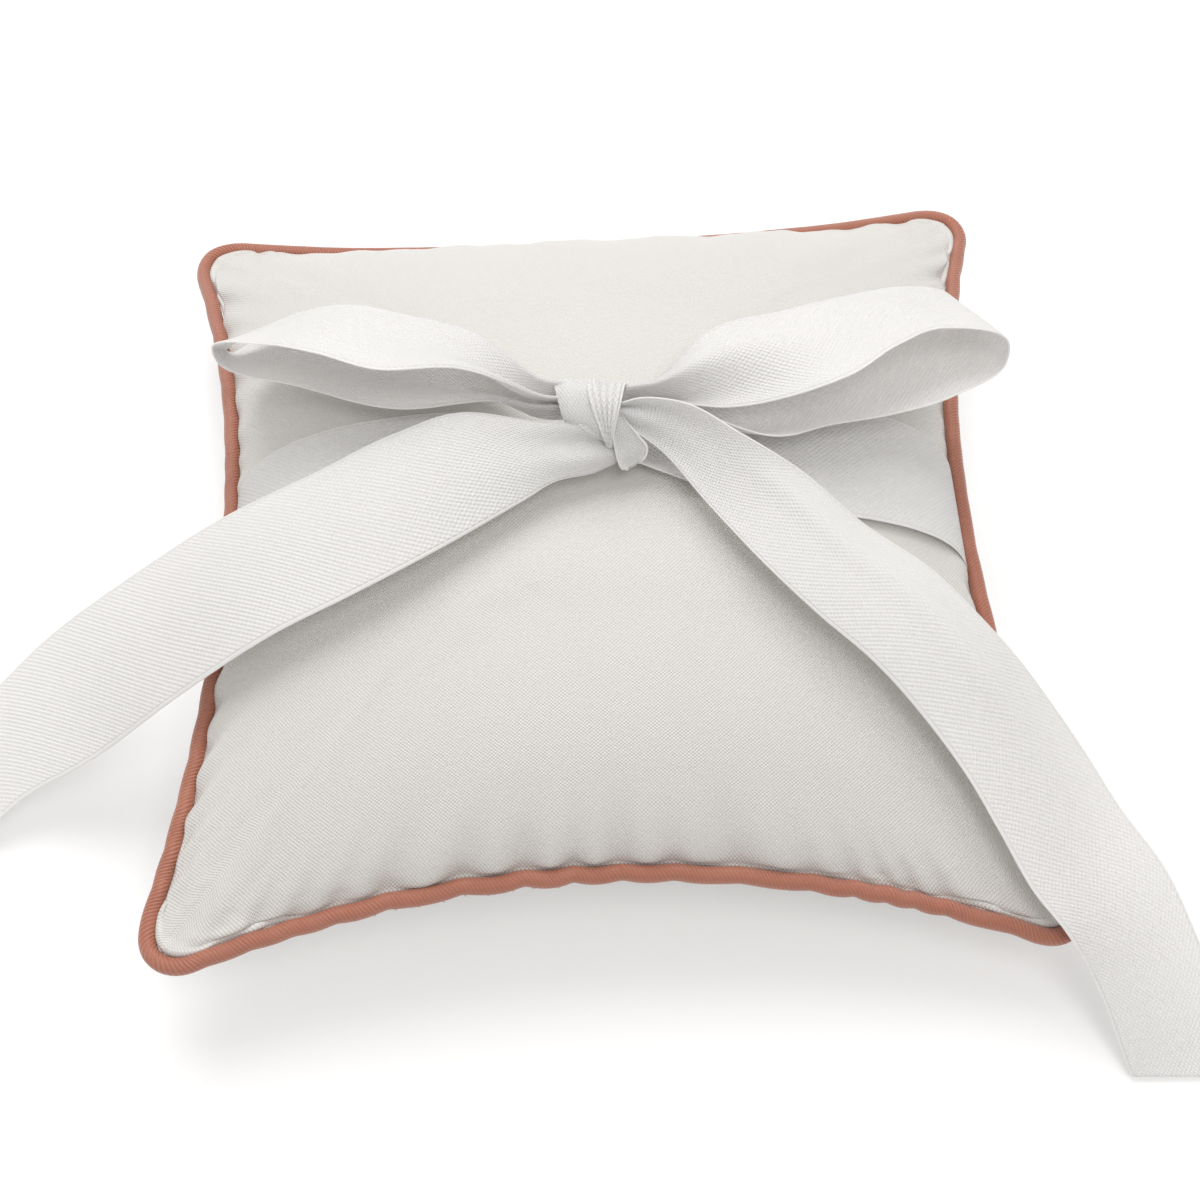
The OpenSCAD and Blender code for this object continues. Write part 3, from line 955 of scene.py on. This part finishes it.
class PILLOW_OT_piping(bpy.types.Operator):
    """Wrap the cord in rose satin and set it into the seam"""

    bl_idname = "pillow.piping"
    bl_label = "Piping"

    def execute(self, context):
        sizes, colours = settings()
        form = PillowForm(sizes)
        radius = sizes.piping_width / 2
        centres, length = piping_line(form, radius)
        stations = len(centres)

        def place(a, b):
            i = round(b * stations) % stations
            centre, crest = centres[i]
            ahead, behind = centres[(i + 1) % stations][0], centres[i - 1][0]
            forward = (ahead - behind).normalized()
            outward = forward.cross(Vector((0, 0, 1))).normalized()
            up = outward.cross(forward).normalized()
            angle = 2 * math.pi * a
            girth = radius * (1 + 0.07 * crest + 0.03 * noise.noise(centre * 180))
            return centre + (outward * math.cos(angle) + up * math.sin(angle)) * girth

        def measure(a, b):
            return a * 2 * math.pi * radius, b * length

        obj = grid_object("piping", 16, stations, place, measure, closed=True)
        add_subdivision(obj)
        bake_modifiers(obj)
        dress(obj, piping_finish(colours), "pillow", "piping_satin", "piping_cover", "piping_cord")
        return {"FINISHED"}


class PILLOW_OT_thread(bpy.types.Operator):
    """Whip the filling gap shut by hand, below the piping of the near side"""

    bl_idname = "pillow.thread"
    bl_label = "Thread"

    def execute(self, context):
        sizes, colours = settings()
        form = PillowForm(sizes)
        radius = sizes.piping_width / 2
        centres, _ = piping_line(form, radius)
        thick, steps, sides = 0.17 * MM, 12, 8
        bm = bmesh.new()
        for first in range(36, 72, 4):
            start, end = math.radians(-155), math.radians(-12 - 8 * math.sin(first * 1.7))

            def bed(share, lift, first=first, start=start, end=end):
                spot = first + 1.6 * share
                low = centres[int(spot)][0]
                centre = low.lerp(centres[int(spot) + 1][0], spot - int(spot))
                forward = (centres[first + 3][0] - centres[first - 1][0]).normalized()
                outward = forward.cross(Vector((0, 0, 1))).normalized()
                up = outward.cross(forward).normalized()
                angle = mix(start, end, share)
                girth = radius * 1.05 + lift
                return centre + (outward * math.cos(angle) + up * math.sin(angle)) * girth, forward

            def place(a, b):
                share = min(max(b, 0.0), 1.0)
                thin = thick * math.sqrt(max(1 - (2 * share - 1) ** 8, 0.0))
                turn = 2 * math.pi * a
                point, forward = bed(share, thin * math.cos(turn))
                return point + forward * (thin * math.sin(turn))

            def measure(a, b):
                return a * MM, b * 4 * MM

            lay_grid(bm, sides, steps, place, measure)
        bmesh.ops.remove_doubles(bm, verts=bm.verts, dist=1e-6)
        bmesh.ops.recalc_face_normals(bm, faces=bm.faces)
        mesh = bpy.data.meshes.new("closing_thread")
        bm.to_mesh(mesh)
        bm.free()
        obj = new_object("closing_thread", mesh)
        dress(obj, thread_finish(colours), "pillow", "thread_pale", "closing_stitches")
        return {"FINISHED"}


class PILLOW_OT_bands(bpy.types.Operator):
    """Lay the two bands over the cushion from the side seams to the knot"""

    bl_idname = "pillow.bands"
    bl_label = "Bands"

    def execute(self, context):
        sizes, colours = settings()
        form = PillowForm(sizes)
        tree = cushion_tree()
        finish = finish_named("white ribbon", lambda: ribbon_finish(colours, sizes.ribbon_width))
        for side, name in ((-1, "left_band"), (1, "right_band")):
            stations = []
            for u, near, far in BAND:
                edges = [form.surface(side * u, v) / MM for v in (near, far)]
                stations.append((edges[0] - BAND_SINK, edges[1] - BAND_SINK, 0))
            rest = resting(tree, 0.28 * MM, 0.05 * MM)

            def fold(across, distance, length):
                gathered = math.exp(-((distance / (12 * MM)) ** 2))
                return 1.3 * MM * gathered * (1.1 + math.sin(2 * math.pi * (2 * across + 0.2)))

            obj, length = ribbon(name, stations, sizes, folds=fold, rest=rest)
            dress(obj, finish, "pillow", "ribbon_left" if side < 0 else "ribbon_right",
                  "band_left" if side < 0 else "band_right")
        return {"FINISHED"}


class PILLOW_OT_tails(bpy.types.Operator):
    """Let the two tails run from the knot over the pillow to the table"""

    bl_idname = "pillow.tails"
    bl_label = "Tails"

    def execute(self, context):
        sizes, colours = settings()
        tree = cushion_tree()
        finish = finish_named("white ribbon", lambda: ribbon_finish(colours, sizes.ribbon_width))

        def left_fold(across, distance, length):
            root = math.exp(-((distance / (16 * MM)) ** 2))
            pleat = 0.5 * MM * root * math.sin(2 * math.pi * (1.6 * across + 0.1))
            sway = 0.5 * MM * noise.noise(Vector((distance * 38, across * 1.1, 2.3)))
            return pleat + sway * ramp(0, 30 * MM, distance)

        def right_fold(across, distance, length):
            root = math.exp(-((distance / (14 * MM)) ** 2))
            pleat = 0.5 * MM * root * math.sin(2 * math.pi * (1.5 * across + 0.6))
            middle = 0.74 - 0.16 * ramp(18 * MM, 70 * MM, distance)
            crease = 0.8 * MM * math.exp(-(((across - middle) / 0.13) ** 2))
            crease *= ramp(16 * MM, 34 * MM, distance) * (1 - ramp(66 * MM, 92 * MM, distance))
            sway = 0.5 * MM * noise.noise(Vector((distance * 38, across * 1.1, 7.9)))
            return pleat + crease + sway * ramp(0, 30 * MM, distance)

        for name, stations, fold, slot, node in (
            ("left_tail_ribbon", LEFT_TAIL, left_fold, "ribbon_tail_left", "tail_left"),
            ("right_tail_ribbon", RIGHT_TAIL, right_fold, "ribbon_tail_right", "tail_right"),
        ):
            obj, length = ribbon(name, stations, sizes, folds=fold, rest=resting(tree, 0.5 * MM))
            dress(obj, finish, None, slot, node)
            body = name.replace("_ribbon", "")
            path = RibbonPath(stations)
            start, end = (path.point(0.5, distance) for distance in TAIL_BEND)
            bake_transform(obj, "pillow", body, start, end)
        return {"FINISHED"}


class PILLOW_OT_loops(bpy.types.Operator):
    """Form the two loops of the bow"""

    bl_idname = "pillow.loops"
    bl_label = "Loops"

    def execute(self, context):
        sizes, colours = settings()
        tree = cushion_tree()
        finish = finish_named("white ribbon", lambda: ribbon_finish(colours, sizes.ribbon_width))

        def pleats(phase):
            def pleat(across, distance, length):
                start = math.exp(-((distance / (26 * MM)) ** 2))
                end = math.exp(-(((length - distance) / (34 * MM)) ** 2))
                upper = start * math.sin(2 * math.pi * (1.2 * across + phase))
                lower = end * math.sin(2 * math.pi * (1.5 * across + phase + 0.3))
                return upper + lower

            return pleat

        for name, stations, phase, slot, node in (
            ("left_loop_ribbon", LEFT_LOOP, 0.1, "ribbon_loop_left", "loop_left"),
            ("right_loop_ribbon", RIGHT_LOOP, 0.55, "ribbon_loop_right", "loop_right"),
        ):
            obj, length = ribbon(name, stations, sizes, rest=resting(tree, 0.9 * MM),
                                 pleat=pleats(phase), deepest=2.2 * MM)
            dress(obj, finish, None, slot, node)
            body = name.replace("_ribbon", "")
            path = RibbonPath(stations)
            start, end = (path.point(0.5, distance) for distance in LOOP_BEND)
            start.z = end.z = LOOP_HINGE
            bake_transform(obj, "pillow", body, start, end)
        return {"FINISHED"}


class PILLOW_OT_knot(bpy.types.Operator):
    """Tie the knot: its heart, the sleeve at its side, the wrap over it and the tucked fold"""

    bl_idname = "pillow.knot"
    bl_label = "Knot"

    def execute(self, context):
        sizes, colours = settings()
        finish = finish_named("white ribbon", lambda: ribbon_finish(colours, sizes.ribbon_width))
        middle, reach = (KNOT_LOW + KNOT_HIGH) / 2, (KNOT_HIGH - KNOT_LOW) / 2

        def heart_place(a, b):
            turn, tilt = 2 * math.pi * a, math.pi * (b - 0.5)
            around = math.cos(tilt) * (1 + 0.02 * math.cos(5 * turn) * math.cos(tilt))
            return middle + Vector((
                reach.x * 0.80 * math.sin(tilt),
                reach.y * 0.74 * around * math.cos(turn) + 0.8 * MM,
                reach.z * 0.88 * around * math.sin(turn),
            ))

        def heart_measure(a, b):
            return a * sizes.ribbon_width, b * 14 * MM

        heart = grid_object("knot_heart", 72, 24, heart_place, heart_measure, closed=True)
        add_subdivision(heart)
        bake_modifiers(heart)
        dress(heart, finish, "pillow", "ribbon_knot", "knot_core")

        def sleeve_fold(across, distance, length):
            return 0.14 * MM * math.sin(2 * math.pi * (1.4 * across + 0.5 * distance / length))

        def wrap_fold(across, distance, length):
            depth = 0.36 * MM * (1 - 0.5 * ramp(0.6, 1, distance / length))
            bend = across + 0.06 * math.sin(3 * distance / length)
            return depth * (abs(math.sin(math.pi * (5.0 * bend))) - 0.5)

        def tuck_fold(across, distance, length):
            return 0.25 * MM * math.sin(2 * math.pi * (1.1 * across + 0.2))

        for name, stations, fold, slot, nodes in (
            ("knot_sleeve", KNOT_SLEEVE, sleeve_fold, "ribbon_knot", ()),
            ("knot_band", KNOT_WRAP, wrap_fold, "ribbon_wrap", ("knot_wrap",)),
            ("knot_tuck", KNOT_TUCK, tuck_fold, "ribbon_tail_right", ()),
        ):
            obj, length = ribbon(name, stations, sizes, folds=fold, rows=36, pitch=0.4 * MM,
                                 shown=KNOT_CLOTH)
            dress(obj, finish, "pillow", slot, *nodes)
        return {"FINISHED"}


def aim(obj, place, target, roll=0.0):
    """Puts a camera or light at place, looking at target."""
    turn = (place - target).to_track_quat("Z", "Y").to_matrix().to_4x4()
    obj.matrix_world = Matrix.Translation(place) @ turn @ Matrix.Rotation(roll, 4, "Z")


def soft_light(name, place, target, size, power, tint):
    data = bpy.data.lights.new(name, "AREA")
    data.shape = "DISK"
    data.size = size
    data.energy = power
    data.color = tint
    obj = bpy.data.objects.new(name, data)
    bpy.context.scene.collection.objects.link(obj)
    aim(obj, Vector(place), Vector(target))


class PILLOW_OT_stage(bpy.types.Operator):
    """Set the table, the soft lights and the camera"""

    bl_idname = "pillow.stage"
    bl_label = "Stage"

    def execute(self, context):
        _, colours = settings()
        bm = bmesh.new()
        bmesh.ops.create_grid(bm, x_segments=8, y_segments=8, size=3.0)
        mesh = bpy.data.meshes.new("table")
        bm.to_mesh(mesh)
        bm.free()
        table = new_object("table", mesh)
        table.data.materials.append(table_finish(colours))

        world = bpy.data.worlds.new("soft daylight")
        context.scene.world = world
        world.use_nodes = True
        nodes, links = world.node_tree.nodes, world.node_tree.links
        background = nodes["Background"]
        background.inputs["Color"].default_value = (1.0, 0.995, 0.985, 1)
        facing = nodes.new("ShaderNodeVectorMath")
        facing.operation = "DOT_PRODUCT"
        facing.inputs[1].default_value = (0.0, 0.6, 0.8)
        links.new(nodes.new("ShaderNodeTexCoord").outputs["Generated"], facing.inputs[0])
        glow = nodes.new("ShaderNodeMapRange")
        glow.inputs["From Min"].default_value = -1.0
        glow.inputs["To Min"].default_value = 0.4
        glow.inputs["To Max"].default_value = 0.80
        links.new(facing.outputs["Value"], glow.inputs["Value"])
        links.new(glow.outputs[0], background.inputs["Strength"])
        soft_light("window light", (-0.1, 0.5, 0.9), (0, 0, 0.03), 0.8, 5.8, (1, 0.995, 0.99))
        soft_light("room light", (0.15, -0.35, 0.88), (0, -0.03, 0.03), 0.35, 1.8, (1, 0.985, 0.96))

        elevation, azimuth = math.radians(CAMERA_ELEVATION), math.radians(CAMERA_AZIMUTH)
        back = Vector((
            math.sin(azimuth) * math.cos(elevation),
            -math.cos(azimuth) * math.cos(elevation),
            math.sin(elevation),
        ))
        data = bpy.data.cameras.new("camera")
        data.sensor_width = 36
        data.lens = CAMERA_LENS
        data.clip_start = 0.01
        camera = bpy.data.objects.new("camera", data)
        context.scene.collection.objects.link(camera)
        place = CAMERA_TARGET + back * CAMERA_DISTANCE
        aim(camera, place, CAMERA_TARGET, math.radians(CAMERA_ROLL))
        context.scene.camera = camera
        context.scene.view_settings.view_transform = "Standard"
        return {"FINISHED"}


STEPS = (
    PILLOW_OT_cushion,
    PILLOW_OT_piping,
    PILLOW_OT_thread,
    PILLOW_OT_bands,
    PILLOW_OT_tails,
    PILLOW_OT_loops,
    PILLOW_OT_knot,
    PILLOW_OT_stage,
)


class PILLOW_PT_panel(bpy.types.Panel):
    """Sizes, colours and steps of the ring pillow"""

    bl_idname = "PILLOW_PT_panel"
    bl_label = "Ring Bearer Pillow"
    bl_space_type = "VIEW_3D"
    bl_region_type = "UI"
    bl_category = "Pillow"

    def draw(self, context):
        layout = self.layout
        for group in (context.scene.pillow_sizes, context.scene.pillow_colours):
            box = layout.box()
            for name in group.__annotations__:
                box.prop(group, name)
        for step in STEPS:
            layout.operator(step.bl_idname)


CLASSES = (PillowSizes, PillowColours, *STEPS, PILLOW_PT_panel)


def register():
    for cls in CLASSES:
        bpy.utils.register_class(cls)
    bpy.types.Scene.pillow_sizes = PointerProperty(type=PillowSizes)
    bpy.types.Scene.pillow_colours = PointerProperty(type=PillowColours)


def unregister():
    del bpy.types.Scene.pillow_colours
    del bpy.types.Scene.pillow_sizes
    for cls in reversed(CLASSES):
        bpy.utils.unregister_class(cls)


def main():
    register()
    for step in STEPS:
        group, name = step.bl_idname.split(".")
        getattr(getattr(bpy.ops, group), name)()


if __name__ == "__main__":
    main()
